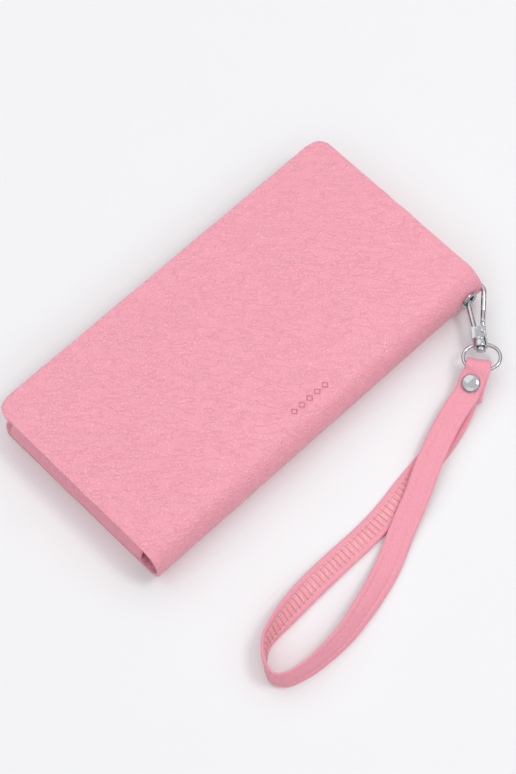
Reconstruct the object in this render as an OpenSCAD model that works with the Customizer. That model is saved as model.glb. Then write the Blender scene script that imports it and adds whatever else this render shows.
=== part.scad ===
// Long bifold wristlet wallet: padded leather covers folded round a spine, a gusseted
// bill pocket and a zipped coin pocket inside, and a strap on a swivel snap hook.
// Origin: middle of the back cover's flat face. +X to the hook end, -Y to the spine.

/* [Wallet] */
// length along the spine
wallet_l = 195; // [170:1:210]
// width from the spine to the opening edge
wallet_w = 102; // [95:1:112]
// corner radius at the opening edge
corner_r = 7; // [6:0.5:12]
// cover leather thickness
leather_t = 1.6; // [1.2:0.1:1.8]
// stiffening board thickness
board_t = 0.7; // [0.5:0.1:0.8]
// lining thickness
lining_t = 0.5; // [0.4:0.1:0.5]

/* [Pockets] */
// clear height of the bill pocket
bill_gap = 4.4; // [4.3:0.1:4.6]
// clear height of the coin pocket
coin_gap = 3.8; // [3.6:0.1:4]
// pocket leather thickness
panel_t = 0.8; // [0.6:0.1:0.9]
// card slot leather thickness
card_t = 0.5; // [0.4:0.1:0.5]
// step between card slot edges
card_step = 10; // [8:0.5:12]

/* [Zip] */
// distance between teeth
tooth_pitch = 2.5; // [2.4:0.1:3]
// length of the pull tab
pull_l = 19; // [14:1:22]

/* [Eyelet and hook] */
// distance from the eyelet to the end of the wallet
eyelet_in = 8.5; // [8.5:0.1:9]
// radius of the hole in the eyelet
eyelet_r = 2.75; // [2.7:0.05:2.9]
// hook wire radius
wire_r = 1.15; // [1:0.05:1.15]
// radius of the hook's bow
bow_r = 4.1; // [4:0.05:4.2]
// ring wire radius
ring_wire = 0.8; // [0.7:0.05:0.8]

/* [Strap] */
// strap width
strap_w = 11.2; // [11:0.1:12]
// strap thickness
strap_t = 1.7; // [1.5:0.1:1.7]
// radius of the rivet cap
rivet_r = 4.1; // [3.5:0.1:4.3]

/* [Hidden] */
$fn = 48;
spine_r = 10;                       // outside of the spine's round
thick = 2 * spine_r;                // height of the closed wallet
half_l = wallet_l / 2;
half_w = wallet_w / 2;
bend_y = -half_w + spine_r;         // where the spine's round starts
crease = 140;                       // round from the bottom to the crease
crease_gap = 0.6;                   // degrees each side of the crease
seam_in = 1.2;
inner_y = bend_y + 4;               // spine side of the inside pieces
z_board = leather_t;
z_lining = z_board + board_t;
z_bill = z_lining + lining_t;
z_coin = z_bill + bill_gap;
z_hollow = z_coin + panel_t;
z_coin_top = z_hollow + coin_gap;
z_slip = z_coin_top + panel_t;
z_front_board = thick - leather_t - board_t;
z_front_lining = z_front_board - lining_t;
zip_y = half_w - 5;                 // plane of the zip
zip_z = z_hollow + coin_gap / 2;
zip_half = half_l - 14;
web = 0.35;                         // half of the slider's web
hook_turn = 229.7;                  // direction of the hook in plan
hook_drop = 4;                      // slope of the hook down to the surface
ex = half_l - eyelet_in;
mid = 2.95;                         // hook's middle line beside the eyelet's centre
taper = 7.5;
joint_bulge = 0.05;                 // brazed joints stand this far out
bow_t = -4;
arm_t0 = bow_t + bow_r * sin(taper);
arm_h0 = bow_r * cos(taper);
pivot_t = 15.2;
pivot_s = mid + 1.6;
ring_t = 27.4;
ring_b = 6.3;                       // half length of the ring, to the wire's centre
ring_a = 8.15;                      // half width
ring_big = 10.5;
ring_off = ring_big - ring_b;
ring_small = 5.57;
ring_ang = atan((ring_a - ring_small) / ring_off);
eye_turn = -14;
eye_r = 2.3;
eye_t = ring_t - ring_off + 9.13 * cos(eye_turn);
eye_s = mid + 9.13 * sin(eye_turn);

function arm_h(t) = arm_h0 - (t - arm_t0) * tan(taper);
// a point on the hook, given along it, across it and above it, in the wallet's frame
function hook_pt(t, s, h) = let (
    a = t * cos(hook_drop) + h * sin(hook_drop), z = -t * sin(hook_drop) + h * cos(hook_drop)
) [ex + a * cos(hook_turn) - s * sin(hook_turn), -half_w + a * sin(hook_turn) + s * cos(hook_turn), spine_r + z];

module at_hook() translate([ex, -half_w, spine_r]) rotate([0, 0, hook_turn]) rotate([0, hook_drop, 0]) children();
module along_x(l) rotate([90, 0, 90]) linear_extrude(height = l, center = true) children();
module plate(l, y0, y1, z0, t) translate([-l / 2, y0, z0]) cube([l, y1 - y0, t]);

// cuts both opening corners of a piece to a round
module corner_cut(l, y1, r) for (s = [-1, 1]) difference() {
    translate([s * (l / 2 - r / 2 + 0.5) - (r + 1) / 2, y1 - r, -1]) cube([r + 1, r + 1, thick + 2]);
    translate([s * (l / 2 - r), y1 - r, -2]) cylinder(r = r, h = thick + 4);
}

module arc(a0, a1, r1, r0) translate([bend_y, spine_r]) intersection() {
    difference() { circle(r = r1, $fn = 96); circle(r = r0, $fn = 96); }
    polygon(concat([[0, 0]], [for (k = [0:4]) let (a = a0 + (a1 - a0) * k / 4) [-3 * r1 * sin(a), -3 * r1 * cos(a)]]));
}

// ---- back cover, spine and what is fixed to them ----
module back_cover_leather() color("#f3a8b9") difference() {
    along_x(wallet_l) {
        translate([bend_y, 0]) square([half_w - bend_y, leather_t]);
        arc(0, crease - crease_gap, spine_r, spine_r - leather_t);
    }
    corner_cut(wallet_l, half_w, corner_r);
    translate([ex, -half_w - 1, spine_r]) rotate([-90, 0, 0]) cylinder(r = eyelet_r + 0.35, h = 6);
    for (s = [-1, 1]) translate([s * (half_l + 1.3), -half_w + 3, spine_r]) cube([6, 8, 16.5], center = true);
}
module back_board() color("#cfc4b4") difference() {
    plate(wallet_l - 8, inner_y, half_w - 4, z_board, board_t);
    corner_cut(wallet_l - 8, half_w - 4, corner_r - 3);
}
module back_lining() color("#eba0b1") difference() {
    plate(wallet_l - 2 * seam_in, bend_y + 1, half_w - seam_in, z_lining, lining_t);
    corner_cut(wallet_l - 2 * seam_in, half_w - seam_in, corner_r - seam_in);
}
// pleat that joins two panels at one end of a pocket
module pleat(side, x, z, gap, fold) color("#e993a6") translate([0, half_w - 6.5, 0]) rotate([90, 0, 0])
    linear_extrude(height = half_w - 6.5 - inner_y - 3) mirror([side < 0 ? 1 : 0, 0])
        polygon([[x, z], [x - fold, z + gap / 2], [x, z + gap], [x - 0.8, z + gap], [x - fold - 0.8, z + gap / 2], [x - 0.8, z]]);
module bill_gusset_hook_end() pleat(1, half_l - 3, z_bill, bill_gap, 3);
module bill_gusset_far_end() pleat(-1, half_l - 3, z_bill, bill_gap, 3);
module coin_gusset_hook_end() pleat(1, half_l - 4, z_hollow, coin_gap, 3);
module coin_gusset_far_end() pleat(-1, half_l - 4, z_hollow, coin_gap, 3);
module coin_pocket() color("#f1a3b5") along_x(wallet_l - 5) {
    translate([inner_y, z_coin]) square([half_w - 4 - inner_y, panel_t]);
    translate([inner_y, z_coin_top]) square([half_w - 4 - inner_y, panel_t]);
    translate([inner_y, z_coin]) square([panel_t, coin_gap + 2 * panel_t]);
}
module slip_pocket() color("#ef9fb2") plate(wallet_l - 9, inner_y + 2, half_w - 22, z_slip, card_t);

// ---- zip ----
module tape(low) color("#d98c9f") translate([-zip_half - 5, zip_y - 0.3, low ? z_hollow : zip_z + 0.9])
    cube([2 * zip_half + 10, 0.6, coin_gap / 2 - 0.9]);
module zip_tape_lower() tape(true);
module zip_tape_upper() tape(false);
module teeth(low) color("#c9cbd0") {
    translate([-zip_half, zip_y - 0.45, low ? zip_z - 0.9 : zip_z + 0.6]) cube([2 * zip_half, 0.9, 0.3]);
    for (k = [0:floor(2 * (zip_half - 2) / tooth_pitch)])
        translate([-zip_half + 1 + k * tooth_pitch, zip_y - 0.6, low ? zip_z - 0.7 : zip_z + 0.4])
            cube([1.3, 1.2, 0.3]);
}
module zip_teeth_lower() teeth(true);
module zip_teeth_upper() teeth(false);
module stop(x) color("#c9cbd0") translate([x, zip_y - 0.9, zip_z - 0.8]) cube([1.4, 1.8, 1.6]);
module zip_stop_closed_end() stop(zip_half + 0.4);
module zip_stop_open_end() stop(-zip_half - 1.8);
slide_x = zip_half - 6;
module zip_slider() color("#c9cbd0") {
    for (s = [-1, 1]) translate([slide_x - 4, zip_y + s * 1.35 - 0.35, zip_z - 1.7]) cube([8, 0.7, 3.4]);
    translate([slide_x - 1.5, zip_y - 1.2, zip_z - web + 0.05]) cube([4.5, 2.4, 2 * web - 0.1]);
    difference() {
        for (s = [-1, 1]) translate([slide_x - 1.2, zip_y + 1.6, zip_z + s * 1.3 - 0.4]) cube([2.4, 2.6, 0.8]);
        translate([slide_x, zip_y + 3.1, zip_z - 2]) cylinder(r = 0.5, h = 4);
    }
    translate([slide_x, zip_y + 3.1, zip_z - 1.7]) cylinder(r = 0.5, h = 3.4);
}
module zip_pull() color("#c9cbd0") difference() {
    union() {
        translate([slide_x, zip_y + 3.1, zip_z - 0.8]) cylinder(r = 1.05, h = 1.6);
        translate([slide_x - 5, zip_y + 2.6, zip_z - 0.8]) cube([4.4, 1, 1.6]);
        translate([slide_x - pull_l, zip_y + 2.6, zip_z - 2.2]) cube([pull_l - 4.5, 1, 4.4]);
    }
    translate([slide_x, zip_y + 3.1, zip_z - 2]) cylinder(r = 0.55, h = 4);
    translate([slide_x - pull_l + 3, zip_y + 2, zip_z]) rotate([-90, 0, 0]) cylinder(r = 1.1, h = 3);
}

// ---- front cover ----
module front_cover_leather() color("#f5adbd") difference() {
    along_x(wallet_l) {
        translate([bend_y, thick - leather_t]) square([half_w - bend_y, leather_t]);
        arc(crease + crease_gap, 180, spine_r, spine_r - leather_t);
    }
    corner_cut(wallet_l, half_w, corner_r);
}
module front_board() color("#cfc4b4") difference() {
    plate(wallet_l - 8, inner_y, half_w - 4, z_front_board, board_t);
    corner_cut(wallet_l - 8, half_w - 4, corner_r - 3);
}
module front_lining() color("#eba0b1") difference() {
    plate(wallet_l - 2 * seam_in, bend_y + 1, half_w - seam_in, z_front_lining, lining_t);
    corner_cut(wallet_l - 2 * seam_in, half_w - seam_in, corner_r - seam_in);
}
module card_slot(k) color("#f1a3b5")
    plate(wallet_l - 9 - k, inner_y + 1 + k * 0.2, half_w - 8 - k * card_step, z_front_lining - k * card_t, card_t);
module card_slot_1() card_slot(1);
module card_slot_2() card_slot(2);
module card_slot_3() card_slot(3);
module card_slot_4() card_slot(4);

// ---- eyelet ----
module eyelet() color("#dcdde0") translate([ex, -half_w, spine_r]) rotate([90, 0, 0]) rotate_extrude($fn = 64) {
    translate([eyelet_r, -3.1]) square([0.3, 3.5]);
    translate([eyelet_r, 0.05]) square([2.2, 0.5]);
    translate([eyelet_r + 1.2, 0.5]) circle(r = 0.35);
}
module eyelet_washer() color("#dcdde0") translate([ex, -half_w, spine_r]) rotate([90, 0, 0]) rotate_extrude($fn = 64)
    translate([eyelet_r + 0.3, -3.1]) square([0.9, 0.4]);

// ---- snap hook ----
module rod(t0, s0, t1, s1, r) translate([t0, s0, 0]) rotate([0, 0, atan2(s1 - s0, t1 - t0)]) rotate([0, 90, 0])
    cylinder(r = r, h = norm([t1 - t0, s1 - s0]));
module hook_body() color("#d9dadd") at_hook() difference() {
    union() {
        translate([bow_t, mid, 0]) rotate([0, 0, 90 - taper]) rotate_extrude(angle = 180 + 2 * taper) translate([bow_r, 0]) circle(r = wire_r);
        rod(arm_t0, mid - arm_h0, 13.8, mid - arm_h(13.8), wire_r);
        rod(arm_t0, mid + arm_h0, 5.6, mid + arm_h(5.6), wire_r);
        for (s = [-1, 1]) translate([arm_t0, mid + s * arm_h0, 0]) rotate([0, 90, 0]) sphere(r = wire_r + joint_bulge);
        translate([13.2, mid - 3.4, -1.5]) cube([5.6, 6.4, 3]);
        translate([18.6, mid, 0]) rotate([0, 90, 0]) cylinder(r = 3.2, h = 1.1);
        translate([19, mid, 0]) rotate([0, 90, 0]) cylinder(r = 1.2, h = 4.6);
        translate([22.9, mid, 0]) rotate([0, 90, 0]) cylinder(r = 2.1, h = 1.5);
    }
    translate([12, mid - 0.5, -0.8]) cube([5.4, 5, 1.6]);
    translate([pivot_t, pivot_s, -3]) cylinder(r = 0.55, h = 6);
}
module hook_gate() color("#d2d4d8") at_hook() difference() {
    union() {
        rod(5.8, mid + arm_h(5.8), 12.7, mid + arm_h(12.7), wire_r);
        translate([pivot_t, pivot_s, -0.7]) cylinder(r = 1.35, h = 1.4);
        translate([12, pivot_s - 0.9, -0.7]) cube([3.2, 1.9, 1.4]);
        translate([10.4, mid + arm_h(10.4), 0]) cylinder(r = 0.8, h = 2.1);
    }
    translate([pivot_t, pivot_s, -3]) cylinder(r = 0.6, h = 6);
    translate([pivot_t, pivot_s, 0]) cylinder(r = 1.05, h = 2);
}
module gate_pin() color("#c4c6ca") at_hook() {
    translate([pivot_t, pivot_s, -1.5]) cylinder(r = 0.55, h = 3);
    for (s = [-1, 1]) translate([pivot_t, pivot_s, s * 1.65 - 0.15]) cylinder(r = 0.95, h = 0.3);
}
module gate_spring() color("#9fa2a8") at_hook() translate([pivot_t, pivot_s, 0.06])
    for (k = [0:1]) translate([0, 0, 0.16 + k * 0.3]) rotate_extrude() translate([0.8, 0]) circle(r = 0.16, $fn = 16);
module swivel_ring() color("#dcdde0") at_hook() difference() {
    union() {
        translate([19.9, mid, 0]) rotate([0, 90, 0]) cylinder(r = 3.3, h = 2.8);
        for (s = [0, 180]) translate([ring_t, mid, 0]) rotate([0, 0, s]) {
            translate([-ring_off, 0, 0]) rotate([0, 0, -ring_ang]) rotate_extrude(angle = 2 * ring_ang, $fn = 96)
                translate([ring_big, 0]) circle(r = ring_wire, $fn = 32);
            translate([0, ring_a - ring_small, 0]) rotate([0, 0, ring_ang]) rotate_extrude(angle = 180 - 2 * ring_ang, $fn = 96)
                translate([ring_small, 0]) circle(r = ring_wire, $fn = 32);
            for (q = [-1, 1]) rotate([0, 0, q * ring_ang]) translate([-ring_off * cos(ring_ang) + ring_big, -q * -ring_off * sin(ring_ang), 0])
                sphere(r = ring_wire + joint_bulge);
        }
    }
    translate([15, mid, 0]) rotate([0, 90, 0]) cylinder(r = 1.25, h = 12);
}

// ---- strap ----
// middle of the band: x, y, z and how far it leans over from flat; rings follow its length
stack_dir = 201;                    // the strap's direction under the rivet, in plan
stack_slope = 18;
rivet_at = [61.7, -78.9, 5.7];
layer = strap_t + 0.25;
function stack_pt(x, z) = [for (a = [x * cos(stack_slope) + z * sin(stack_slope)])
    for (c = [rivet_at.x + a * cos(stack_dir), rivet_at.y + a * sin(stack_dir), rivet_at.z - x * sin(stack_slope) + z * cos(stack_slope), 0]) c];
out_way = [
    [66.95, -77.3, 10.3, 0], stack_pt(-4.2, layer), stack_pt(0, layer), stack_pt(4.6, layer),
    [48.7, -82.6, 6, 0], [38.6, -85.6, 5.3, 0], [28.4, -89.4, 5.1, 0], [18.1, -93.9, 4.8, 0], [7.1, -99.2, 3.9, 0],
    [-1.6, -102.7, 2.7, 3], [-11.2, -106.9, 2.2, 8], [-22, -112, 2.4, 15], [-34, -116.3, 3.3, 27],
    [-46, -119.6, 4.4, 38], [-58.4, -122.3, 5.3, 50], [-71.1, -123.1, 5.8, 60], [-82.8, -122.3, 6.1, 70],
    [-91.3, -119.5, 6.3, 78], [-94.5, -115.7, 6.4, 86], [-93.4, -110.6, 6.4, 93], [-89.2, -105.2, 6.2, 100]];
back_way = [
    [-84.4, -101.9, 6, 110], [-77.7, -100.1, 5.4, 122], [-69.7, -98.7, 4.6, 139], [-58.8, -97.4, 3.5, 154],
    [-46.8, -96.6, 2.5, 166], [-33.9, -96.2, 1.6, 174], [-20, -96, 1.1, 179], [-6, -94.9, 1, 180],
    [8, -92.6, 1, 180], [22, -90.6, 1, 180], [34, -88.6, 1.1, 180], [44, -86, 1.7, 180], [51.2, -83.4, 2.8, 180],
    concat([for (k = [0:2]) stack_pt(4.4, 0)[k]], 180), concat([for (k = [0:2]) stack_pt(0, 0)[k]], 180), concat([for (k = [0:2]) stack_pt(-3, 0)[k]], 180)];
tail_way = [
    [for (k = [0:3]) stack_pt(6.6, -layer)[k] + [0.6, -1.7, 0.1, 0][k]], [for (k = [0:3]) stack_pt(1.5, -layer)[k] + [0.2, -0.5, 0, 0][k]],
    stack_pt(-4.2, -layer)];
eye_mid = hook_pt(eye_t, eye_s, 0);
eye_dir = hook_turn + eye_turn;     // direction out of the eye, in plan
band_r = eye_r + strap_t / 2;
// the eye's wrap, from its lower side round the ring to its upper side
wrap = [for (a = [0:22.5:180]) eye_mid + band_r * [-sin(a) * cos(eye_dir), -sin(a) * sin(eye_dir), -cos(a)]];
wrap_up = [for (a = [0:22.5:180]) [cos(a) * cos(eye_dir), cos(a) * sin(eye_dir), -sin(a)]];

module strap_leather() color("#f5aabb") {
    flat = function(w) [for (p = w) [p.x, p.y, p.z]];
    path = concat(flat(tail_way), wrap, flat(out_way), flat(back_way));
    nt = len(tail_way);
    nw = len(wrap);
    lean = concat([for (p = tail_way) p[3]], [for (p = wrap) 0], [for (p = out_way) p[3]], [for (p = back_way) p[3]]);
    n = len(path);
    unit = function(v) v / norm(v);
    // travel direction, then the direction across the band's width
    along = [for (i = [0:n - 1]) i >= nt && i < nt + nw ? -wrap_up[i - nt] : unit(path[min(i + 1, n - 1)] - path[max(i - 1, 0)])];
    side = [for (i = [0:n - 1]) let (
            d = along[i],
            h = i < nt ? unit([-d.y, d.x, 0]) : i < nt + nw ? [sin(eye_dir), -cos(eye_dir), 0] : unit([d.y, -d.x, 0]),
            v = h * cos(lean[i]) + [0, 0, sin(lean[i])])
        unit(v - d * (v * d))];
    a = strap_w / 2;
    b = strap_t / 2;
    shape = [[-a, -b * 0.4], [-a + b * 0.6, -b], [a - b * 0.6, -b], [a, -b * 0.4], [a, b * 0.4], [a - b * 0.6, b], [-a + b * 0.6, b], [-a, b * 0.4]];
    points = [for (i = [0:n - 1]) for (q = shape) path[i] + side[i] * q.x + cross(along[i], side[i]) * q.y];
    polyhedron(points, concat([[for (k = [0:7]) k]], [[for (k = [7:-1:0]) (n - 1) * 8 + k]],
        [for (i = [0:n - 2]) for (k = [0:7]) let (m = (k + 1) % 8) each [[i * 8 + k, (i + 1) * 8 + k, (i + 1) * 8 + m], [i * 8 + k, (i + 1) * 8 + m, i * 8 + m]]]));
}
module at_rivet() translate(rivet_at) rotate([0, 0, stack_dir]) rotate([0, stack_slope, 0]) children();
module rivet_cap() color("#dfe0e3") at_rivet() translate([0, 0, layer + strap_t / 2 + 0.05]) rotate_extrude($fn = 64)
    intersection() { translate([0, -5.2]) circle(r = 6.8, $fn = 128); square([rivet_r, 4]); }
module rivet_post() color("#c9cbd0") at_rivet() translate([0, 0, -layer - strap_t / 2 - 0.65]) {
    cylinder(r = 3.2, h = 0.6);
    cylinder(r = 1.2, h = 2 * layer + strap_t + 0.7);
}

back_cover_leather();
back_board();
back_lining();
bill_gusset_hook_end();
bill_gusset_far_end();
coin_gusset_hook_end();
coin_gusset_far_end();
coin_pocket();
slip_pocket();
zip_tape_lower();
zip_tape_upper();
zip_teeth_lower();
zip_teeth_upper();
zip_stop_closed_end();
zip_stop_open_end();
zip_slider();
zip_pull();
front_cover_leather();
front_board();
front_lining();
card_slot_1();
card_slot_2();
card_slot_3();
card_slot_4();
eyelet();
eyelet_washer();
hook_body();
hook_gate();
gate_pin();
gate_spring();
swivel_ring();
strap_leather();
rivet_cap();
rivet_post();
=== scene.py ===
import math

import bmesh
import bpy
import numpy as np
from mathutils import Matrix, Vector, noise


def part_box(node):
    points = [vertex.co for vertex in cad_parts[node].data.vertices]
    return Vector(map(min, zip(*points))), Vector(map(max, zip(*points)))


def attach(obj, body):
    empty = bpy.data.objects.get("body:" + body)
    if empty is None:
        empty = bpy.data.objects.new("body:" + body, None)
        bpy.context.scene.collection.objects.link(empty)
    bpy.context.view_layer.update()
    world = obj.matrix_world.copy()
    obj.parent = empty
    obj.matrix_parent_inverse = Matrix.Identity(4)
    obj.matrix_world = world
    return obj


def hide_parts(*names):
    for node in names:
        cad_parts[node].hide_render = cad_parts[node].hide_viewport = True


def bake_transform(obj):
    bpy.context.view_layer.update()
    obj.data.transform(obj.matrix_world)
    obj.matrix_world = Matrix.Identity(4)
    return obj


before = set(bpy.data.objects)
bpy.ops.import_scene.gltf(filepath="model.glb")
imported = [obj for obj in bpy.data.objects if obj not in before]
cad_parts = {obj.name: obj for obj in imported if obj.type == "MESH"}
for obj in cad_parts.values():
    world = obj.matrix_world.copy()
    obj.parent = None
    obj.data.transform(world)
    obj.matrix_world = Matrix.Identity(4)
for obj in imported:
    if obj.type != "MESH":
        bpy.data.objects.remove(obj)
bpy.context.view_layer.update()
scene = bpy.context.scene
mm = 0.001  # sizes below are in millimetres, and a finished mesh is in metres


def nodeBox(name):
    low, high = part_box(name)
    return low / mm, high / mm


cameraSet = {
    "azimuth": -44.18, "elevation": 63.49,
    "target": (-3.5, -13.3, 0), "distance": 1145.6, "lens": 122.14,
}


def backVector(azimuth, elevation):
    turn, lift = math.radians(azimuth), math.radians(elevation)
    return Vector((math.sin(turn) * math.cos(lift), -math.cos(turn) * math.cos(lift), math.sin(lift)))


def placeCamera():
    data = bpy.data.cameras.new("camera")
    data.lens = cameraSet["lens"]
    data.sensor_width = 36
    data.clip_start, data.clip_end = 0.01, 50
    camera = bpy.data.objects.new("camera", data)
    back = backVector(cameraSet["azimuth"], cameraSet["elevation"])
    camera.location = (Vector(cameraSet["target"]) + back * cameraSet["distance"]) * mm
    camera.rotation_euler = (-back).to_track_quat("-Z", "Y").to_euler()
    scene.collection.objects.link(camera)
    scene.camera = camera


lightSet = {
    # name: direction it comes from (azimuth, elevation), distance, side, watts, colour
    "softbox": ((175, 62), 1.5, 1.2, 2.6, (1, 0.99, 0.98)),
    "front": ((40, 60), 1.5, 0.42, 4.6, (1, 1, 1)),
    "fill": ((-60, 40), 1.8, 1.4, 2, (0.98, 0.99, 1)),
}


def placeLights():
    for name, (place, distance, side, power, colour) in lightSet.items():
        data = bpy.data.lights.new(name, "AREA")
        data.size, data.energy, data.color = side, power, colour
        light = bpy.data.objects.new(name, data)
        back = backVector(*place)
        light.location = back * distance
        light.rotation_euler = back.to_track_quat("Z", "Y").to_euler()
        scene.collection.objects.link(light)
    scene.view_settings.view_transform = "Standard"


placeCamera()
placeLights()
print("camera and lights are up")


class Wire:
    # an output of a node, or a plain tree when socket is None
    def __init__(self, tree, socket=None):
        self.tree, self.socket = tree, socket

    def node(self, kind, settings, values, output=0):
        made = self.tree.nodes.new("ShaderNode" + kind)
        for name, value in settings.items():
            if name == "stops":
                ramp = made.color_ramp.elements
                while len(ramp) < len(value):
                    ramp.new(0.5)
                for stop, (place, shade) in zip(ramp, value):
                    stop.position, stop.color = place, shade
            else:
                setattr(made, name, value)
        for name, value in values.items():
            if isinstance(value, Wire):
                self.tree.links.new(value.socket, made.inputs[name])
            else:
                made.inputs[name].default_value = value
        return Wire(self.tree, made.outputs[output])

    def calc(self, operation, *terms):
        return self.node("Math", {"operation": operation}, dict(enumerate(terms)))

    def __add__(self, other): return self.calc("ADD", self, other)
    def __sub__(self, other): return self.calc("SUBTRACT", self, other)
    def __mul__(self, other): return self.calc("MULTIPLY", self, other)
    def __truediv__(self, other): return self.calc("DIVIDE", self, other)
    def __radd__(self, other): return self.calc("ADD", other, self)
    def __rsub__(self, other): return self.calc("SUBTRACT", other, self)
    def __abs__(self): return self.calc("ABSOLUTE", self)
    def __lt__(self, other): return self.calc("LESS_THAN", self, other)
    def __gt__(self, other): return self.calc("GREATER_THAN", self, other)

    def step(self, low, high):
        settings = {"interpolation_type": "SMOOTHSTEP"}
        return self.node("MapRange", settings, {"Value": self, "From Min": low, "From Max": high})

    def tint(self, low, high):  # this value picks a colour between two
        return self.node("Mix", {"data_type": "RGBA"}, {0: self, 6: low, 7: high}, 2)

    def warp(self, amount, other):  # a vector pushed along by another vector
        pushed = self.node("VectorMath", {"operation": "SCALE"}, {0: other, "Scale": amount})
        return self.node("VectorMath", {"operation": "ADD"}, {0: self, 1: pushed})

    def noise(self, scale, detail=3, rough=0.55, output=0):
        values = {"Vector": self, "Scale": scale, "Detail": detail, "Roughness": rough}
        return self.node("TexNoise", {}, values, output)

    def cells(self, scale, feature="F1", output="Distance"):
        return self.node("TexVoronoi", {"feature": feature}, {"Vector": self, "Scale": scale}, output)

    def along(self, axis):
        return self.node("SeparateXYZ", {}, {0: self}, axis)


def tone(red, green, blue):
    return (red, green, blue, 1)


def startFinish(name):
    material = bpy.data.materials.new(name)
    material.use_nodes = True
    tree = Wire(material.node_tree)
    place = tree.node("TexCoord", {}, {}, "Object")
    return material, tree, place


def endFinish(material, tree, height, distance, strength=1, **sockets):
    surface = material.node_tree.nodes["Principled BSDF"]
    if height is not None:
        bump = tree.node("Bump", {}, {"Height": height, "Distance": distance, "Strength": strength})
        sockets["Normal"] = bump
    for name, value in sockets.items():
        socket = surface.inputs[name.replace("_", " ")]
        if isinstance(value, Wire):
            tree.tree.links.new(value.socket, socket)
        else:
            socket.default_value = value
    return material


leatherSet = {
    # name: body colour, painted shade colour for the grooves and creases, pebbles per metre, relief in
    # metres, roughness, long creases
    "coverLeather": (tone(0.915, 0.40, 0.48), tone(0.88, 0.335, 0.42), 640, 0.0003, 0.12, 0.6),
    "strapLeather": (tone(0.90, 0.38, 0.462), tone(0.86, 0.31, 0.395), 1000, 0.00016, 0.34, 0.35),
    "pocketLeather": (tone(0.86, 0.34, 0.425), tone(0.79, 0.26, 0.34), 1000, 0.00008, 0.5, 0.5),
    "gussetLeather": (tone(0.92, 0.41, 0.49), tone(0.88, 0.33, 0.41), 1100, 0.00007, 0.42, 0.6),
}
motif = {"centre": (1.7, -39.6), "count": 5, "pitch": 4.6, "half": 1.5, "line": 0.42, "above": 19}


def debossedMotif(place):
    # a row of small outlined diamonds pressed into the front cover
    x, y, z = (place.along(axis) / mm for axis in range(3))
    reach = motif["pitch"] * motif["count"] / 2
    offset = x - motif["centre"][0]
    inRow = abs(offset) < reach
    cell = offset.calc("PINGPONG", offset + (reach - motif["pitch"] / 2), motif["pitch"] / 2)
    spread = abs(cell) + abs(y - motif["centre"][1])
    ring = 1 - abs(spread - motif["half"]).step(motif["line"] * 0.5, motif["line"])
    return ring * inRow * (z > motif["above"])


def makeLeather(name):
    body, paintedGrooveShade, pebbles, relief, rough, longCreases = leatherSet[name]
    material, tree, place = startFinish(name)
    wander = place.noise(45, 2, 0.5, "Color")
    soft = place.warp(0.0022, wander)
    edge = soft.cells(pebbles, "DISTANCE_TO_EDGE")
    fine = soft.cells(pebbles * 2.3, "DISTANCE_TO_EDGE")
    pebble = edge.step(0, 0.35)
    pimple = fine.step(0, 0.4)
    slant = tree.node("Mapping", {"vector_type": "TEXTURE"},
                      {"Vector": place, "Rotation": (0, 0, math.radians(46)), "Scale": (1, 3.2, 1)})
    folds = abs(slant.warp(0.003, wander).noise(340, 3, 0.55) - 0.5)
    fold = folds.step(0, 0.03)
    dents = place.noise(24, 3, 0.5)
    height = pebble * 0.6 + pimple * 0.3 + fold * (0.6 * longCreases) + dents * 0.5
    # painted shade: the grooves between pebbles and the long fold lines get the darker colour, as if shade
    # fell in them
    shade = (pebble * 0.5 + pimple * 0.25 + fold * (0.25 * longCreases)).step(0, 0.9)
    cloudy = place.noise(9, 3, 0.6).step(0.3, 0.7)
    colour = shade.tint(paintedGrooveShade, body)
    # cloudy patches on the pebble tops are painted paler, partly random tone and partly painted light on the
    # raised tops
    paleAndLitTops = tuple(min(1, c * 1.03) for c in body[:3]) + (1,)
    colour = (cloudy * shade * 0.5).tint(colour, paleAndLitTops)
    if name == "coverLeather":
        pressed = debossedMotif(place)
        height = height - pressed * 1.6
        colour = (pressed * 0.8).tint(colour, tone(0.80, 0.20, 0.28))
    sheen = rough + 0.12 - pebble * 0.1
    return endFinish(material, tree, height, relief, 0.9, Base_Color=colour, Roughness=sheen,
                     Specular_IOR_Level=0.42, Sheen_Weight=0.06)


def makeLining():
    material, tree, place = startFinish("liningCloth")
    x, y = (place.along(axis) * 4200 for axis in (0, 1))
    warp = x.calc("SINE", x + y * 0.5)
    weft = y.calc("SINE", y * 1.6 - x * 0.3)
    weave = (warp * weft).step(-0.8, 0.8)
    blotch = place.noise(70, 4, 0.6)
    colour = (weave * 0.6 + blotch * 0.4).tint(tone(0.66, 0.22, 0.31), tone(0.84, 0.35, 0.45))
    return endFinish(material, tree, weave + blotch, 0.00005, 0.7, Base_Color=colour,
                     Roughness=0.62 - weave * 0.12, Sheen_Weight=0.25)


def makeBoard():
    material, tree, place = startFinish("fibreBoard")
    fibre = tree.node("Mapping", {}, {"Vector": place, "Scale": (1, 5, 5)}).noise(600, 5, 0.7)
    speck = place.cells(1400)
    colour = (fibre * 0.7 + speck * 0.3).tint(tone(0.42, 0.35, 0.27), tone(0.72, 0.65, 0.54))
    return endFinish(material, tree, fibre, 0.0001, 0.6, Base_Color=colour, Roughness=0.9 - fibre * 0.1)


def makeThread(name, low, high):
    material, tree, place = startFinish(name)
    strands = place.along(0) + place.along(1) * 0.7 + place.along(2)
    twist = strands.calc("SINE", strands * 21000)
    fluff = place.noise(1500, 3, 0.7)
    colour = (twist.step(-1, 1) * 0.6 + fluff * 0.4).tint(low, high)
    return endFinish(material, tree, twist, 0.00003, 0.5, Base_Color=colour,
                     Roughness=0.7 - fluff * 0.15, Sheen_Weight=0.2)


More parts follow.
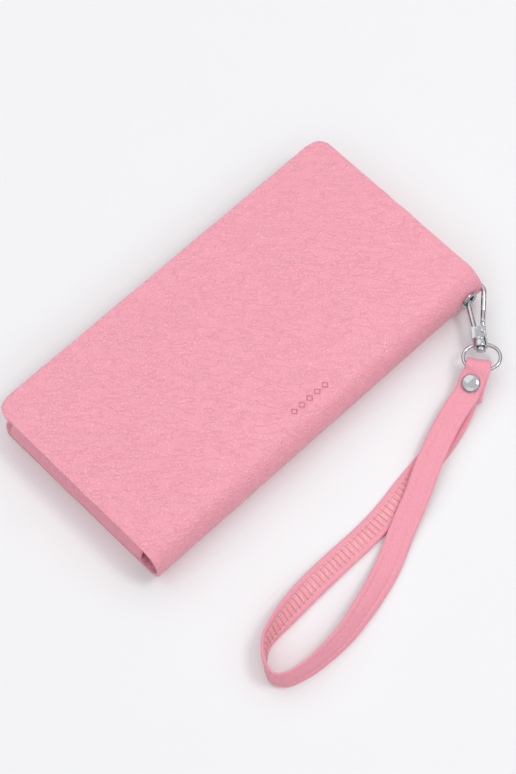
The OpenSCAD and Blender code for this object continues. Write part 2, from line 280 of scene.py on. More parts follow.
def makeMetal(name, body, rough, wear):
    material, tree, place = startFinish(name)
    smear = place.noise(160, 4, 0.6)
    fine = tree.node("Mapping", {}, {"Vector": place, "Scale": (1, 7, 2)}).noise(1800, 3, 0.7)
    ripple = place.noise(420, 2, 0.5)
    polish = rough + smear * wear + fine.step(0.55, 0.75) * wear
    dull = tuple(c * 0.86 for c in body[:3]) + (1,)
    colour = (smear.step(0.35, 0.7) * 0.6).tint(body, dull)
    return endFinish(material, tree, ripple + fine * 0.2, 0.00002, 0.35, Base_Color=colour,
                     Roughness=polish, Metallic=1)


def makeTape():
    material, tree, place = startFinish("zipTape")
    x, z = place.along(0), place.along(2)
    rib = x.calc("SINE", x * 9000)
    cross = z.calc("SINE", z * 15000)
    weave = (rib * 0.5 + cross * 0.5).step(-0.7, 0.7)
    colour = weave.tint(tone(0.58, 0.19, 0.27), tone(0.78, 0.33, 0.42))
    return endFinish(material, tree, weave, 0.00008, 0.8, Base_Color=colour, Roughness=0.85 - weave * 0.1)


def makeFloor():
    material, tree, place = startFinish("paperFloor")
    grain = place.noise(30, 4, 0.6)
    colour = grain.tint(tone(0.842, 0.842, 0.842), tone(0.856, 0.856, 0.856))
    return endFinish(material, tree, grain, 0.00002, 0.2, Base_Color=colour, Roughness=0.75 + grain * 0.1,
                     Specular_IOR_Level=0.15)


studio = {
    "above": tone(0.97, 0.975, 1), "level": tone(0.10, 0.09, 0.10),
    "strength": 0.93, "from": 0.26, "to": 0.5,
}


def makeStudio():
    # an even bright ceiling over a dark band at the horizon, which bright metal picks up
    world = bpy.data.worlds.new("studio")
    world.use_nodes = True
    tree = Wire(world.node_tree)
    height = tree.node("TexCoord", {}, {}, "Generated").along(2)
    colour = height.step(studio["from"], studio["to"]).tint(studio["level"], studio["above"])
    background = world.node_tree.nodes["Background"]
    world.node_tree.links.new(colour.socket, background.inputs["Color"])
    background.inputs["Strength"].default_value = studio["strength"]
    scene.world = world


makeStudio()
finish = {name: makeLeather(name) for name in leatherSet}
finish["lining"] = makeLining()
finish["board"] = makeBoard()
finish["thread"] = makeThread("stitchThread", tone(0.80, 0.38, 0.36), tone(0.94, 0.64, 0.56))
finish["paleThread"] = makeThread("coverThread", tone(0.78, 0.52, 0.42), tone(0.95, 0.76, 0.62))
finish["redThread"] = makeThread("needleLine", tone(0.60, 0.17, 0.17), tone(0.80, 0.32, 0.28))
finish["nickel"] = makeMetal("nickelPlate", tone(0.52, 0.52, 0.54), 0.06, 0.06)
finish["zipMetal"] = makeMetal("zipNickel", tone(0.74, 0.73, 0.72), 0.2, 0.15)
finish["spring"] = makeMetal("springSteel", tone(0.46, 0.46, 0.48), 0.3, 0.2)
finish["tape"] = makeTape()
finish["floor"] = makeFloor()
print("finishes are ready:", len(finish))


def addPiece(bm, name, body, looks, nodes=(), sharp=35, turnOut=True):
    # turns a bmesh in millimetres into a piece in metres that rides on a body
    bmesh.ops.scale(bm, vec=(mm, mm, mm), verts=bm.verts)
    if turnOut:
        bmesh.ops.recalc_face_normals(bm, faces=bm.faces)
    mesh = bpy.data.meshes.new(name)
    bm.to_mesh(mesh)
    bm.free()
    piece = bpy.data.objects.new(name, mesh)
    scene.collection.objects.link(piece)
    for look in looks:
        mesh.materials.append(finish[look])
    mesh.shade_smooth()
    mesh.set_sharp_from_angle(angle=math.radians(sharp))
    if body:
        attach(piece, body)
    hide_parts(*nodes)
    return piece


def graded(*runs):
    # places along a line: (start, (end, steps), (end, steps) ...)
    places = [runs[0]]
    for end, steps in runs[1:]:
        start = places[-1]
        places += [start + (end - start) * k / steps for k in range(1, steps + 1)]
    return places


def layGrid(columns, rows, place):
    # a grid whose points are placed by their column and row
    bm = bmesh.new()
    bmesh.ops.create_grid(bm, x_segments=len(columns) - 1, y_segments=len(rows) - 1, size=0.5)
    uvs = bm.loops.layers.uv.new("along")
    for face in bm.faces:
        for loop in face.loops:
            loop[uvs].uv = (loop.vert.co.x + 0.5, loop.vert.co.y + 0.5)
    for vert in bm.verts:
        column = columns[round((vert.co.x + 0.5) * (len(columns) - 1))]
        row = rows[round((vert.co.y + 0.5) * (len(rows) - 1))]
        vert.co = place(column, row)
    return bm


def joinBack(bm, back):
    # closes a sheet with its other face, a grid of the same size
    backMesh = bpy.data.meshes.new("back")
    back.to_mesh(backMesh)
    back.free()
    bm.from_mesh(backMesh)
    bpy.data.meshes.remove(backMesh)
    bmesh.ops.bridge_loops(bm, edges=[edge for edge in bm.edges if edge.is_boundary])


def thicken(bm, thickness, rim, segments=3):
    # gives a sheet its thickness, then rounds its rim
    bmesh.ops.solidify(bm, geom=bm.faces[:], thickness=thickness)
    roundRim(bm, rim, segments)


def roundRim(bm, rim, segments=3):
    bmesh.ops.recalc_face_normals(bm, faces=bm.faces)
    edges = [edge for edge in bm.edges if edge.is_manifold and edge.calc_face_angle(0) > math.radians(55)]
    bmesh.ops.bevel(bm, geom=edges, offset=rim, segments=segments, profile=0.5, affect="EDGES",
                    material=-1, clamp_overlap=True)


def cornerInset(distance, radius):
    # how far an outline draws in, this distance from the end of a rounded corner
    if distance >= radius:
        return 0
    return radius - math.sqrt(max(0, radius ** 2 - (radius - distance) ** 2))


def spinProfile(points, steps=64):
    # a closed ring or a dome: the profile's (radius, height) points turned round Z
    bm = bmesh.new()
    ends = [bm.verts.new((radius, 0, height)) for radius, height in points]
    edges = [bm.edges.new(pair) for pair in zip(ends, ends[1:])]
    bmesh.ops.spin(bm, geom=ends + edges, cent=(0, 0, 0), axis=(0, 0, 1), angle=math.tau, steps=steps,
                   use_merge=True)
    bmesh.ops.remove_doubles(bm, verts=bm.verts, dist=1e-4)
    return bm


def makeBead(look):
    bm = bmesh.new()
    bmesh.ops.create_uvsphere(bm, u_segments=6, v_segments=5, radius=1)
    for face in bm.faces:
        face.material_index = look
    bead = bpy.data.meshes.new("bead")
    bm.to_mesh(bead)
    bm.free()
    return bead


beads = [makeBead(0), makeBead(1)]


def addStitch(bm, start, end, radius, flat=1.0, up=Vector((0, 0, 1)), look=0):
    # one thread stitch, a small drawn-out bead from start to end
    along = (end - start)
    across = along.cross(up).normalized()
    rise = across.cross(along).normalized()
    turn = Matrix((across, rise, along.normalized())).transposed().to_4x4()
    size = Matrix.Diagonal((radius, radius * flat, along.length / 2, 1))
    bead = beads[look].copy()
    bead.transform(Matrix.Translation((start + end) / 2) @ turn @ size)
    bm.from_mesh(bead)
    bpy.data.meshes.remove(bead)


def wavy(x, y, size, scale=0.02, seed=0):
    return size * noise.noise(Vector((x * scale, y * scale, seed)))


hook = {
    "eyelet": (89, -51, 10), "turn": 229.7, "drop": 4, "mid": 2.95,
    "ringAt": 27.4, "ringHalf": 6.3, "ringArc": 10.5, "eyeReach": 9.13,
}
rivet = {
    "place": Vector((61.7, -78.9, 5.7)), "turn": 201, "slope": 18, "radius": 4.1,
    "skirt": 0.35, "dome": 1.2, "domeAngles": (0.3, 0.6, 0.85, 1.05, 1.2, 1.32, 1.43),
}
strap = {
    "width": 11.2, "thickness": 1.7, "layer": 1.95, "eyeTurn": -14, "eyeRadius": 2.3,
    "step": 1.5, "stitchAt": 2.9, "groove": 0.26,
    "stitch": 2.0, "pitch": 2.9, "thread": 0.15, "rung": 2.6,
}


def hookPoint(along, across, above):
    drop, turn = math.radians(hook["drop"]), math.radians(hook["turn"])
    reach = along * math.cos(drop) + above * math.sin(drop)
    rise = -along * math.sin(drop) + above * math.cos(drop)
    return Vector(hook["eyelet"]) + Vector((
        reach * math.cos(turn) - across * math.sin(turn),
        reach * math.sin(turn) + across * math.cos(turn), rise))


def underRivet(along, above, lean=0):
    slope, turn = math.radians(rivet["slope"]), math.radians(rivet["turn"])
    reach = along * math.cos(slope) + above * math.sin(slope)
    spot = rivet["place"] + Vector((
        reach * math.cos(turn), reach * math.sin(turn),
        -along * math.sin(slope) + above * math.cos(slope)))
    return (*spot, lean)


layer = strap["layer"]
outWay = [
    (66.95, -77.3, 10.3, 0), underRivet(-4.2, layer), underRivet(0, layer), underRivet(4.6, layer),
    (48.7, -82.6, 6, 0), (38.6, -85.6, 5.3, 0), (28.4, -89.4, 5.1, 0), (18.1, -93.9, 4.8, 0),
    (7.1, -99.2, 3.9, 0), (-1.6, -102.7, 2.7, 3), (-11.2, -106.9, 2.2, 8), (-22, -112, 2.4, 15),
    (-34, -116.3, 3.3, 27), (-46, -119.6, 4.4, 38), (-58.4, -122.3, 5.3, 50),
    (-71.1, -123.1, 5.8, 60), (-82.8, -122.3, 6.1, 70), (-91.3, -119.5, 6.3, 78),
    (-94.5, -115.7, 6.4, 86), (-93.4, -110.6, 6.4, 93), (-89.2, -105.2, 6.2, 100),
]
backWay = [
    (-84.4, -101.9, 6, 110), (-77.7, -100.1, 5.4, 122), (-69.7, -98.7, 4.6, 139),
    (-58.8, -97.4, 3.5, 154), (-46.8, -96.6, 2.5, 166), (-33.9, -96.2, 1.6, 174),
    (-20, -96, 1.1, 179), (-6, -94.9, 1, 180), (8, -92.6, 1, 180), (22, -90.6, 1, 180),
    (34, -88.6, 1.1, 180), (44, -86, 1.7, 180), (51.2, -83.4, 2.8, 180),
    underRivet(4.4, 0, 180), underRivet(0, 0, 180), underRivet(-3, 0, 180),
]
tailWay = [
    tuple(Vector(underRivet(6.6, -layer)[:3]) + Vector((0.6, -1.7, 0.1))),
    tuple(Vector(underRivet(1.5, -layer)[:3]) + Vector((0.2, -0.5, 0))), underRivet(-4.2, -layer),
]


def strapRoute():
    # the band's middle line with the direction across it, from the tail round the eye and the loop
    eyeTurn = math.radians(strap["eyeTurn"])
    ringMiddle = hook["ringAt"] - hook["ringArc"] + hook["ringHalf"]
    middle = hookPoint(ringMiddle + hook["eyeReach"] * math.cos(eyeTurn),
                       hook["mid"] + hook["eyeReach"] * math.sin(eyeTurn), 0)
    facing = math.radians(hook["turn"] + strap["eyeTurn"])
    outward = Vector((math.cos(facing), math.sin(facing), 0))
    across = Vector((outward.y, -outward.x, 0))
    bend = strap["eyeRadius"] + strap["thickness"] / 2
    wrap = []
    for step in range(9):
        angle = math.pi * step / 8
        wrap.append(middle - bend * (math.sin(angle) * outward + Vector((0, 0, math.cos(angle)))))
    spots = [Vector(p[:3]) for p in tailWay] + wrap + [Vector(p[:3]) for p in outWay + backWay]
    leans = [0] * (len(tailWay) + len(wrap)) + [p[3] for p in outWay + backWay]
    sides = []
    for index, spot in enumerate(spots):
        ahead = spots[min(index + 1, len(spots) - 1)] - spots[max(index - 1, 0)]
        if index < len(tailWay):
            level = Vector((-ahead.y, ahead.x, 0)).normalized()
        elif index < len(tailWay) + len(wrap):
            level = across
        else:
            level = Vector((ahead.y, -ahead.x, 0)).normalized()
        lean = math.radians(leans[index])
        sides.append(level * math.cos(lean) + Vector((0, 0, math.sin(lean))))
    return spots, sides, wrap[len(wrap) // 2]


def smoothRoute(spots, sides, step):
    # an even run of points and frames on one smooth curve through the spots
    knots = np.hstack([np.array(spots), np.array(sides)])
    gaps = np.linalg.norm(np.diff(knots[:, :3], axis=0), axis=1)
    at = np.concatenate([[0], np.cumsum(gaps)])
    slopes = np.gradient(knots, at, axis=0)
    points = []
    for run in np.linspace(0, at[-1], int(at[-1] / step) + 1):
        k = min(int(np.searchsorted(at, run, side="right")) - 1, len(gaps) - 1)
        t = (run - at[k]) / gaps[k]
        blendIn, blendOut = 2 * t ** 3 - 3 * t ** 2 + 1, 3 * t ** 2 - 2 * t ** 3
        ease = gaps[k] * (t ** 3 - 2 * t ** 2 + t), gaps[k] * (t ** 3 - t ** 2)
        between = blendIn * knots[k] + blendOut * knots[k + 1]
        points.append((run, between + ease[0] * slopes[k] + ease[1] * slopes[k + 1]))
    places = [Vector(p[:3]) for _, p in points]
    frames = []
    for index, (run, point) in enumerate(points):
        ahead = (places[min(index + 1, len(places) - 1)] - places[max(index - 1, 0)]).normalized()
        side = Vector(point[3:])
        side = (side - ahead * side.dot(ahead)).normalized()
        frames.append((run, places[index], side, side.cross(ahead)))
    return frames


def strapFace(across, run, outer):
    # height of the band's surface over its middle, at a place across it
    half, thick = strap["width"] / 2, strap["thickness"] / 2
    edge = abs(across) / half
    rise = thick * (1 - edge ** 7) ** 0.5
    seam = abs(abs(across) - strap["stitchAt"])
    rise -= strap["groove"] * math.exp(-((seam / 0.42) ** 2))
    if abs(across) < strap["stitchAt"]:
        rise -= 0.1 if outer else 0.14
    return rise + 0.045 * math.sin(run * math.tau / strap["pitch"]) * math.exp(-((seam / 1.3) ** 2))


def makeStrap():
    spots, sides, eyeEnd = strapRoute()
    frames = smoothRoute(spots, sides, strap["step"])
    firstOut = min(range(len(frames) // 4), key=lambda k: (frames[k][1] - eyeEnd).length)
    stepLength = frames[1][0]
    half = strap["width"] / 2
    marks = [0, 0.25, 0.45, 0.62, 0.78, 0.89, 0.95, 0.985]
    lane = [-half * m for m in reversed(marks[1:])] + [half * m for m in marks]
    grooves = [s * (strap["stitchAt"] + d) for s in (-1, 1) for d in (-0.35, 0, 0.35)]
    lane = sorted(lane + grooves)
    ring = [(-half, 0)] + [(a, 1) for a in lane] + [(half, 0)]
    ring += [(a, -1) for a in reversed(lane)] + [(-half, 0)]

    def place(index, spot):
        run, middle, side, up = frames[index]
        across, face = ring[spot]
        rise = face * strapFace(across, run, face > 0) if face else 0
        return middle + side * across + up * rise

    bm = layGrid(list(range(len(frames))), list(range(len(ring))), place)
    bmesh.ops.remove_doubles(bm, verts=bm.verts, dist=1e-5)
    bmesh.ops.holes_fill(bm, edges=[edge for edge in bm.edges if edge.is_boundary])
    band = addPiece(bm, "strapBand", "strap", ["strapLeather"], ["strap_leather"], sharp=50)

    def onFace(run, across, outer, lift=0.05):
        index = min(len(frames) - 1, round(run / stepLength))
        spare = run - frames[index][0]
        _, middle, side, up = frames[index]
        ahead = up.cross(side)
        face = 1 if outer else -1
        return middle + ahead * spare + side * across + up * face * (strapFace(across, run, outer) + lift)

    runEnd = frames[-1][0]
    stitches = bmesh.new()
    for lineAt in (-strap["stitchAt"], strap["stitchAt"]):
        run = 2.0
        while run < runEnd - 2:
            a, b = onFace(run, lineAt, True), onFace(run + strap["stitch"], lineAt, True)
            addStitch(stitches, a, b, strap["thread"], 0.8)
            run += strap["pitch"]
    rows = addPiece(stitches, "strapStitches", "strap", ["thread"], sharp=80)

    ladder = bmesh.new()
    run = 2.0
    while run < runEnd - strap["rung"] - 1:
        far, nextRun = strap["stitchAt"], run + strap["rung"]
        addStitch(ladder, onFace(run, -far * 1.12, False), onFace(run, far * 1.12, False), 0.16, 0.8, look=1)
        a, b = onFace(run + 0.3, -far, False, 0.12), onFace(nextRun - 0.3, far, False, 0.12)
        addStitch(ladder, a, b, 0.15, 0.8)
        for lean in (0.5, 1.5):
            a = onFace(run + lean, -far * 0.92, False, 0.1)
            b = onFace(run + lean + 0.3, far * 0.9, False, 0.1)
            addStitch(ladder, a, b, 0.11, 0.8)
        for s in (-1, 1):
            a, b = onFace(run, s * far, False, 0.12), onFace(nextRun - 0.4, s * (far - 0.25), False, 0.14)
            addStitch(ladder, a, b, 0.19, 0.8)
        run = nextRun
    rungs = addPiece(ladder, "strapCoverstitch", "strap", ["paleThread", "redThread"],
                     sharp=80)

    radius = rivet["radius"]
    dome = [(0.0001, 1.55)]
    for angle in rivet["domeAngles"]:
        dome.append((radius * math.sin(angle), rivet["skirt"] + rivet["dome"] * math.cos(angle)))
    dome += [(radius + 0.02, 0.38), (radius, 0.14), (radius - 0.15, 0.02), (0.0001, 0.0)]
    cap = spinProfile(dome)
    slope = Matrix.Rotation(math.radians(rivet["slope"]), 4, "Y")
    turn = Matrix.Rotation(math.radians(rivet["turn"]), 4, "Z") @ slope
    lift = layer + strap["thickness"] / 2 + 0.05
    toPlace = Matrix.Translation(rivet["place"]) @ turn @ Matrix.Translation((0, 0, lift))
    bmesh.ops.transform(cap, matrix=toPlace, verts=cap.verts)
    capPiece = addPiece(cap, "rivetCap", "strap", ["nickel"], ["rivet_cap"])

    path = [tuple(spot * mm) for _, spot, _, _ in frames[firstOut:]]
    length = sum((Vector(b) - Vector(a)).length for a, b in zip(path, path[1:]))
    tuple(path[0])
    print("strap is", round(length, 3), "m long")


makeStrap()


# the back cover, the spine and the front cover are one skin
skin = {
    "thickness": 1.6, "rim": 0.6, "crown": 1.25, "seamIn": 4.2, "seam": 0.36,
    "pucker": 0.3, "puckerPitch": 4.2, "holeRadius": 3.0, "backShort": 0.7,
    "heldRim": 2.5, "fade": 12, "spineShare": 0.72, "spineFade": 9,
    "seamWidth": 0.9, "openSeamShare": 0.6, "swellFrom": 1.3, "swellWidth": 1.1,
}
leatherLow, leatherHigh = nodeBox("front_cover_leather")
skinHalf, openEdge, skinTop = leatherHigh.x, leatherHigh.y, leatherHigh.z
spineRadius = skinTop / 2
bendAt = -(openEdge - spineRadius)
flatRun = openEdge - bendAt
roundRun = math.pi * spineRadius
skinRun = 2 * flatRun + roundRun
cornerRadius = 7


def skinPlace(x, run):
    # the outer face of the covers, run being the way from the back's opening edge round the spine
    inset = cornerInset(min(run, skinRun - run), cornerRadius)
    inset += skin["backShort"] * (1 - min(1, max(0, (run - flatRun) / roundRun * 2)))
    x = x * (skinHalf - inset) / skinHalf
    if run < flatRun:
        return Vector((x, openEdge - run, 0)), Vector((0, 0, -1))
    if run > flatRun + roundRun:
        return Vector((x, bendAt + run - flatRun - roundRun, skinTop)), Vector((0, 0, 1))
    turn = (run - flatRun) / spineRadius
    out = Vector((0, -math.sin(turn), -math.cos(turn)))
    return Vector((x, bendAt, spineRadius)) + out * spineRadius, out


def looseness(x, run):
    # 0 where the skin is held by its seams and 1 in the middle of a padded face
    edge = min(skinHalf - abs(x), skinRun - run)
    hold = min(1, max(0, (edge - skin["heldRim"]) / skin["fade"]))
    start = flatRun + roundRun * skin["spineShare"]
    fromSpine = min(1, max(0, (run - start) / skin["spineFade"]))
    return hold * hold * (3 - 2 * hold) * fromSpine * fromSpine * (3 - 2 * fromSpine)


def puffSkin(columns, rows):
    # how far pressure lifts the skin at each grid point, from a short cloth simulation
    bm = layGrid(columns, rows, lambda x, run: skinPlace(x, run)[0] * mm)
    bmesh.ops.recalc_face_normals(bm, faces=bm.faces)
    mesh = bpy.data.meshes.new("skinCloth")
    bm.to_mesh(mesh)
    bm.free()
    cloth = bpy.data.objects.new("skinCloth", mesh)
    scene.collection.objects.link(cloth)
    held = cloth.vertex_groups.new(name="held")
    rest = np.array([v.co for v in mesh.vertices])
    for index, vert in enumerate(mesh.vertices):
        column, row = gridKey[index]
        held.add([index], 1 - looseness(columns[column], rows[row]), "REPLACE")
    sim = cloth.modifiers.new("cloth", "CLOTH")
    sim.settings.quality = 4
    sim.settings.mass = 0.25
    sim.settings.tension_stiffness = sim.settings.compression_stiffness = 12
    sim.settings.bending_stiffness = 3
    sim.settings.use_pressure = True
    sim.settings.uniform_pressure_force = 4
    sim.settings.effector_weights.gravity = 0
    sim.settings.vertex_group_mass = "held"
    sim.collision_settings.use_collision = False
    for number in range(1, 21):
        scene.frame_set(number)
    shaped = cloth.evaluated_get(bpy.context.evaluated_depsgraph_get())
    after = np.array([v.co for v in shaped.data.vertices])
    scene.frame_set(1)
    bpy.data.objects.remove(cloth)
    return (after - rest) / mm


def gridOrder(columns, rows):
    # which column and row each point of a grid has, in the order that the operator makes them
    bm = bmesh.new()
    bmesh.ops.create_grid(bm, x_segments=len(columns) - 1, y_segments=len(rows) - 1, size=0.5)
    wide, long = len(columns) - 1, len(rows) - 1
    order = [(round((v.co.x + 0.5) * wide), round((v.co.y + 0.5) * long)) for v in bm.verts]
    bm.free()
    return order


skinColumns = graded(-skinHalf, (-skinHalf + 8, 9), (skinHalf - 8, 58), (skinHalf, 9))
skinRows = graded(0, (10, 10), (flatRun - 4, 26), (flatRun + roundRun + 5, 38),
                  (skinRun - 10, 28), (skinRun, 11))
gridKey = gridOrder(skinColumns, skinRows)


def makeSkin():
    lift = puffSkin(skinColumns, skinRows)
    print("cloth lifted the cover by", round(float(np.abs(lift).max()), 2), "mm")
    lifts = {}
    for index, key in enumerate(gridKey):
        x, run = skinColumns[key[0]], skinRows[key[1]]
        free = looseness(x, run)
        out = skinPlace(x, run)[1]
        far = skin["crown"] * free if lift is None else float(Vector(lift[index]).dot(out))
        lifts[key] = skin["crown"] * math.tanh(max(0, far) / skin["crown"])
    columnOf = {x: k for k, x in enumerate(skinColumns)}
    rowOf = {run: k for k, run in enumerate(skinRows)}

    def place(x, run):
        spot, out = skinPlace(x, run)
        rise = lifts[columnOf[x], rowOf[run]]
        onTop = min(1, max(0, (run - flatRun - roundRun * 0.4) / 12))
        side = skinHalf - abs(x)
        endSeam = abs(side - skin["seamIn"])
        openSeam = abs(skinRun - run - skin["seamIn"])
        width, share = skin["seamWidth"], skin["openSeamShare"]
        seam = math.exp(-((endSeam / width) ** 2)) + share * math.exp(-((openSeam / width) ** 2))
        rise -= skin["seam"] * seam * onTop
        along = run if endSeam < openSeam else x
        swell = math.exp(-(((min(endSeam, openSeam) - skin["swellFrom"]) / skin["swellWidth"]) ** 2))
        ripple = math.sin(along * math.tau / skin["puckerPitch"]) * wavy(x, along, 1.2, 0.09, 3)
        rise += skin["pucker"] * swell * onTop * (0.4 + ripple)
        rise += wavy(x, run, 0.35, 0.035, 1) * onTop * min(1, side / 8)
        near = max(0, 1 - side / 6) * onTop
        spot = spot + out * rise
        spot.x += math.copysign(wavy(run, 0, 0.5, 0.06, 7) * near, x)
        spot.z -= near * near * 0.25
        spot.z = max(spot.z, 0)
        return spot

    def placeBack(x, run):
        spot, out = skinPlace(x, run)
        return spot - out * skin["thickness"]

    bm = layGrid(skinColumns, skinRows, place)
    joinBack(bm, layGrid(skinColumns, skinRows, placeBack))
    roundRim(bm, skin["rim"])
    piece = addPiece(bm, "outerLeather", None, ["coverLeather"],
                     ["back_cover_leather", "front_cover_leather"], sharp=50)
    # the eyelet's hole is cut with a round punch
    punch = bmesh.new()
    toPlace = Matrix.Translation(Vector(hook["eyelet"]) * mm) @ Matrix.Rotation(math.pi / 2, 4, "X")
    hole = skin["holeRadius"] * mm
    bmesh.ops.create_cone(punch, cap_ends=True, segments=48, radius1=hole, radius2=hole, depth=0.012,
                          matrix=toPlace)
    punchMesh = bpy.data.meshes.new("punch")
    punch.to_mesh(punchMesh)
    punch.free()
    punchPiece = bpy.data.objects.new("punch", punchMesh)
    scene.collection.objects.link(punchPiece)
    cut = piece.modifiers.new("hole", "BOOLEAN")
    cut.operation, cut.object, cut.solver = "DIFFERENCE", punchPiece, "EXACT"
    bpy.context.view_layer.update()
    shaped = piece.evaluated_get(bpy.context.evaluated_depsgraph_get())
    finished = bpy.data.meshes.new_from_object(shaped)
    piece.modifiers.clear()
    piece.data = finished
    bpy.data.objects.remove(punchPiece)
    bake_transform(piece)
    print("outer leather has", len(finished.polygons), "faces")


makeSkin()


panelSet = {
    # piece: CAD node, body, look, slot, corner radius at the opening edge, stitch line in from the edges
    "frontLining": ("front_lining", "front_cover", "lining", "lining", 5.8, None),
    "backLining": ("back_lining", "wallet", "lining", "lining", 5.8, None),
    "slipPocket": ("slip_pocket", "wallet", "pocketLeather", "pocket_leather", 0, 2.0),
    "cardSlot1": ("card_slot_1", "front_cover", "pocketLeather", "pocket_leather", 0, 1.6),
    "cardSlot2": ("card_slot_2", "front_cover", "pocketLeather", "pocket_leather", 0, 1.6),
    "cardSlot3": ("card_slot_3", "front_cover", "pocketLeather", "pocket_leather", 0, 1.6),
    "cardSlot4": ("card_slot_4", "front_cover", "pocketLeather", "pocket_leather", 0, 1.6),
}


def makePanel(name):
    node, body, look, slot, radius, stitchIn = panelSet[name]
    low, high = nodeBox(node)
    half, thick = high.x, high.z - low.z
    columns = graded(-half, (-half + 6, 4), (half - 6, 36), (half, 4))
    rows = graded(low.y, (high.y - 11, 18), (high.y, 12))
    faceDown = body == "front_cover"

    def place(x, y):
        inset = cornerInset(high.y - y, radius) if radius else 0
        return Vector((x * (half - inset) / half, y, low.z if faceDown else high.z))

    bm = layGrid(columns, rows, place)
    for face in bm.faces:
        if (face.normal.z > 0) == faceDown:
            face.normal_flip()
    thicken(bm, thick, min(0.16, thick * 0.35), 2)
    if stitchIn:
        # a sewn line along the free edge and both ends, on the side that shows
        z = low.z - 0.02 if faceDown else high.z + 0.02
        up = Vector((0, 0, -1 if faceDown else 1))
        seamY = high.y - stitchIn
        runs = [((-half + stitchIn, seamY), (half - stitchIn, seamY))]
        for s in (-1, 1):
            runs.append(((s * (half - stitchIn), seamY - 1), (s * (half - stitchIn), seamY - 9)))
        for start, end in runs:
            a, b = Vector((*start, z)), Vector((*end, z))
            count = int((b - a).length / 3)
            for k in range(count):
                addStitch(bm, a.lerp(b, (k + 0.12) / count), a.lerp(b, (k + 0.82) / count), 0.15, 0.7, up, 1)
    return addPiece(bm, name, body, [look, "thread"], [node], sharp=50)


for panelName in panelSet:
    makePanel(panelName)
print("panels are sewn:", len(panelSet))


pouch = {
    "thickness": 0.8, "endIn": 1.2, "fold": 2.2,
    "stitch": 2.2, "pitch": 3.2, "seamIn": 2.2, "thread": 0.17,
}


def makeCoinPocket():
    # one leather sheet folded along the spine side into a pouch
    low, high = nodeBox("coin_pocket")
    half = high.x - pouch["endIn"]
    bottom, top, fold = low.z, high.z, pouch["fold"]
    corners = [(high.y, top), (low.y + fold, top)]
    for k in range(1, 7):
        angle = math.pi / 2 * k / 6
        corners.append((low.y + fold - fold * math.sin(angle), top - fold + fold * math.cos(angle)))
    for k in range(0, 7):
        angle = math.pi / 2 * k / 6
        corners.append((low.y + fold - fold * math.cos(angle), bottom + fold - fold * math.sin(angle)))
    corners.append((high.y, bottom))
    spots = [Vector((0, y, z)) for y, z in corners]
    rows = []
    for a, b in zip(spots, spots[1:]):
        pieces = max(1, round((b - a).length / 3.5))
        rows += [a.lerp(b, k / pieces) for k in range(pieces)]
    rows.append(spots[-1])
    columns = graded(-half, (half, 48))
    bm = layGrid(columns, list(range(len(rows))), lambda x, k: Vector((x, rows[k].y, rows[k].z)))
    bmesh.ops.recalc_face_normals(bm, faces=bm.faces)
    topFaces = [face for face in bm.faces if face.calc_center_median().z > top - 0.01]
    if sum(face.normal.z for face in topFaces) < 0:
        bmesh.ops.reverse_faces(bm, faces=bm.faces)
    thicken(bm, pouch["thickness"], 0.25, 2)
    z, long, thread = top + 0.02, pouch["stitch"], pouch["thread"]
    for side in (-1, 1):
        for k in range(24):
            x = side * (half - pouch["seamIn"])
            y = low.y + 6 + k * pouch["pitch"]
            addStitch(bm, Vector((x, y, z)), Vector((x, y + long, z)), thread, 0.7, look=1)
    for k in range(58):
        x, y = -half + 4 + k * pouch["pitch"], high.y - 2
        addStitch(bm, Vector((x, y, z)), Vector((x + long, y, z)), thread, 0.7, look=1)
    return addPiece(bm, "coinPocket", "wallet", ["pocketLeather", "thread"],
                    ["coin_pocket"], sharp=50)


makeCoinPocket()


wall = {
    "out": 1.7, "foot": 1.7, "head": 13.4, "thickness": 0.7, "wrinkle": 0.4, "from": -38, "to": 44.5,
    "x": 95.6, "lean": 3.2,
}


def makeWall(side, name, nodes):
    rows = graded(wall["foot"], (wall["head"], 16))
    columns = graded(wall["from"], (wall["to"], 110))

    def place(y, z):
        share = (z - wall["foot"]) / (wall["head"] - wall["foot"])
        belly = math.sin(math.pi * share) ** 0.6
        ends = min(1, (y - wall["from"]) / 5, (wall["to"] - y) / 7)
        gather = noise.noise(Vector((y * 0.55, z * 0.09, side * 5)))
        gather += 0.5 * noise.noise(Vector((y * 1.3, z * 0.16, side * 9)))
        fold = 0.55 * math.exp(-(((share - 0.52) / 0.1) ** 2))
        out = wall["out"] * belly * max(0, ends) ** 0.5 - fold + wall["wrinkle"] * gather * belly
        out += 0.5 * wavy(y, 0, 1, 0.05, side * 3) + wall["lean"] * (0.5 - share)
        return Vector((side * (wall["x"] + out - 0.6), y, z))

    bm = layGrid(columns, rows, place)
    bmesh.ops.recalc_face_normals(bm, faces=bm.faces)
    if sum(face.normal.x * side for face in bm.faces) < 0:
        bmesh.ops.reverse_faces(bm, faces=bm.faces)
    thicken(bm, wall["thickness"], 0.2, 2)
    return addPiece(bm, name, "wallet", ["gussetLeather"], nodes, sharp=60)


makeWall(1, "sideWallHookEnd", ["bill_gusset_hook_end", "coin_gusset_hook_end"])
makeWall(-1, "sideWallFarEnd", ["bill_gusset_far_end", "coin_gusset_far_end"])
print("side walls are gathered")


def softCopy(node, name, body, look, slot, radius, sharp=30):
    # a merged copy of a CAD node with its hard edges rounded
    bm = bmesh.new()
    bm.from_mesh(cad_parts[node].data)
    bmesh.ops.scale(bm, vec=(1 / mm, 1 / mm, 1 / mm), verts=bm.verts)
    bmesh.ops.remove_doubles(bm, verts=bm.verts, dist=1e-3)
    bmesh.ops.dissolve_limit(bm, angle_limit=math.radians(1.5), verts=bm.verts, edges=bm.edges)
    hard = math.radians(sharp + 8)
    edges = [edge for edge in bm.edges if edge.is_manifold and edge.calc_face_angle(0) > hard]
    if edges:
        bmesh.ops.bevel(bm, geom=edges, offset=radius, segments=2, profile=0.5, affect="EDGES",
                        material=-1, clamp_overlap=True)
    return addPiece(bm, name, body, [look], [node], sharp=sharp)


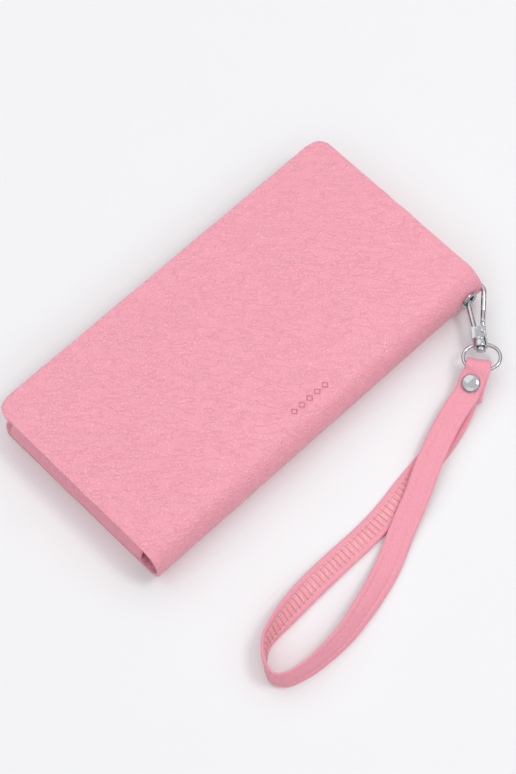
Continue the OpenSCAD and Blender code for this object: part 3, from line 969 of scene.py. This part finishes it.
softSet = (
    # CAD node, piece, body, look, slot, radius of the edges
    ("zip_teeth_lower", "zipTeethLower", "wallet", "zipMetal", "zip_metal", 0.07),
    ("zip_teeth_upper", "zipTeethUpper", "wallet", "zipMetal", "zip_metal", 0.07),
    ("zip_stop_closed_end", "zipStopClosedEnd", "wallet", "zipMetal", "zip_metal", 0.25),
    ("zip_stop_open_end", "zipStopOpenEnd", "wallet", "zipMetal", "zip_metal", 0.25),
    ("zip_slider", "zipSlider", "slider", "zipMetal", "zip_metal", 0.16),
    ("zip_pull", "zipPull", "pull", "zipMetal", "zip_metal", 0.18),
    ("hook_gate", "hookGate", "gate", "nickel", "hardware", 0.12),
    ("gate_pin", "gatePin", "hook", "nickel", "hardware", 0.08),
    ("swivel_ring", "swivelRing", "ring", "nickel", "hardware", 0.25),
    ("hook_body", "hookBody", "hook", "nickel", "hardware", 0.2),
)
for softRow in softSet:
    softCopy(*softRow)


eyelet = {"hole": 2.78, "flange": 4.95, "barrel": 3.0, "wall": 0.28, "roll": 0.75, "steps": 12}


def makeEyelet():
    # a rolled flange on a short barrel
    hole, flange, inside = eyelet["hole"], eyelet["flange"], -eyelet["barrel"]
    middle, reach = (hole + flange) / 2, (flange - hole) / 2
    rolled = []
    for step in range(eyelet["steps"] + 1):
        angle = math.pi * step / eyelet["steps"]
        rise = 0.1 + eyelet["roll"] * max(0, math.sin(angle)) ** 1.2
        rolled.append((middle - reach * math.cos(angle), rise))
    outside = hole + eyelet["wall"]
    profile = [(hole, inside)] + rolled + [(flange - 0.1, 0.02), (outside, 0.02)]
    profile += [(outside, inside), (hole, inside)]
    bm = spinProfile(profile)
    toPlace = Matrix.Translation(Vector(hook["eyelet"])) @ Matrix.Rotation(math.pi / 2, 4, "X")
    bmesh.ops.transform(bm, matrix=toPlace, verts=bm.verts)
    return addPiece(bm, "eyeletRing", "wallet", ["nickel"], ["eyelet"])


makeEyelet()


# CAD nodes that keep their shape
keptLooks = {
    "back_board": "board", "front_board": "board", "zip_tape_lower": "tape", "zip_tape_upper": "tape",
    "eyelet_washer": "nickel", "gate_spring": "spring", "rivet_post": "nickel",
}
for nodeName, look in keptLooks.items():
    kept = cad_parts[nodeName]
    kept.data.materials.clear()
    kept.data.materials.append(finish[look])
print("metal parts and kept nodes are dressed")


def makeFloorSheet():
    bm = bmesh.new()
    bmesh.ops.create_grid(bm, x_segments=4, y_segments=4, size=6)
    bmesh.ops.translate(bm, vec=(0, 0, -0.0001), verts=bm.verts)
    mesh = bpy.data.meshes.new("floor")
    bm.to_mesh(mesh)
    bm.free()
    mesh.materials.append(finish["floor"])
    sheet = bpy.data.objects.new("floor", mesh)
    scene.collection.objects.link(sheet)


makeFloorSheet()
print("scene is complete")
